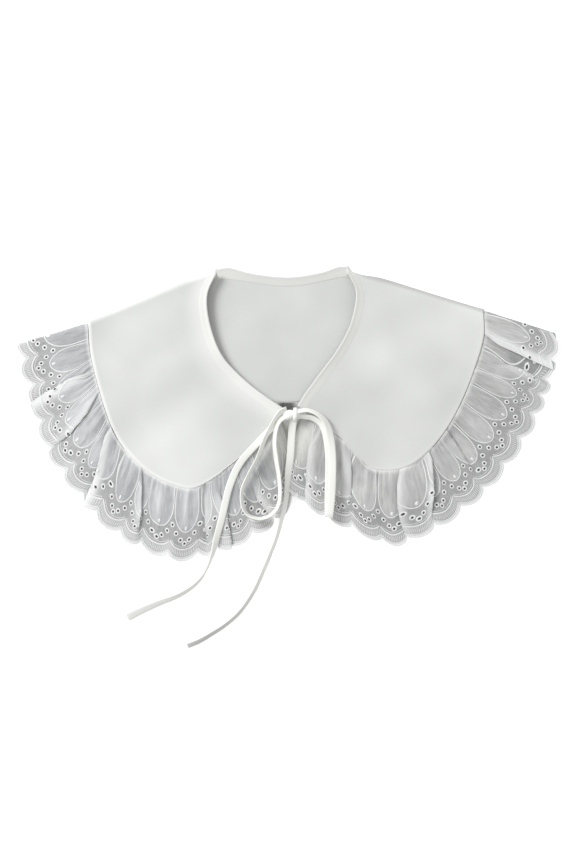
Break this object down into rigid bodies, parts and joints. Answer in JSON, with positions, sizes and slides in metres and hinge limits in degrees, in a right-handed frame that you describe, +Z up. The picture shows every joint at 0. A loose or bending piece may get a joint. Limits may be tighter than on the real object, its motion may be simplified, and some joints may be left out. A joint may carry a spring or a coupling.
{
  "type": "detachable collar",
  "caption": "Wide rounded detachable collar of plain white cloth with a gathered scalloped eyelet lace ruffle, a taped neck edge and a tied bow, lying flat",
  "frame": {"origin": "middle of the collar without its tape ends, on the surface that it lies on", "axes": "+X across the collar from the left of the picture to its right, +Y from the bow to the back of the neck, +Z up off the surface"},
  "size_m": [0.4836, 0.3423, 0.018],
  "materials": {
    "panel_cloth": "smooth matt woven cloth",
    "tape_cloth": "soft flat folded tape of the same cloth",
    "lace_cloth": "sheer crisp cloth with satin stitched scallops and eyelets"
  },
  "bodies": {
    "root": {"collar_panel": "panel_cloth", "neck_binding": "tape_cloth", "lace_ruffle": "lace_cloth", "bow_knot": "tape_cloth", "left_loop": "tape_cloth", "right_loop": "tape_cloth", "left_tail": "tape_cloth", "right_tail": "tape_cloth"}
  },
  "joints": []
}
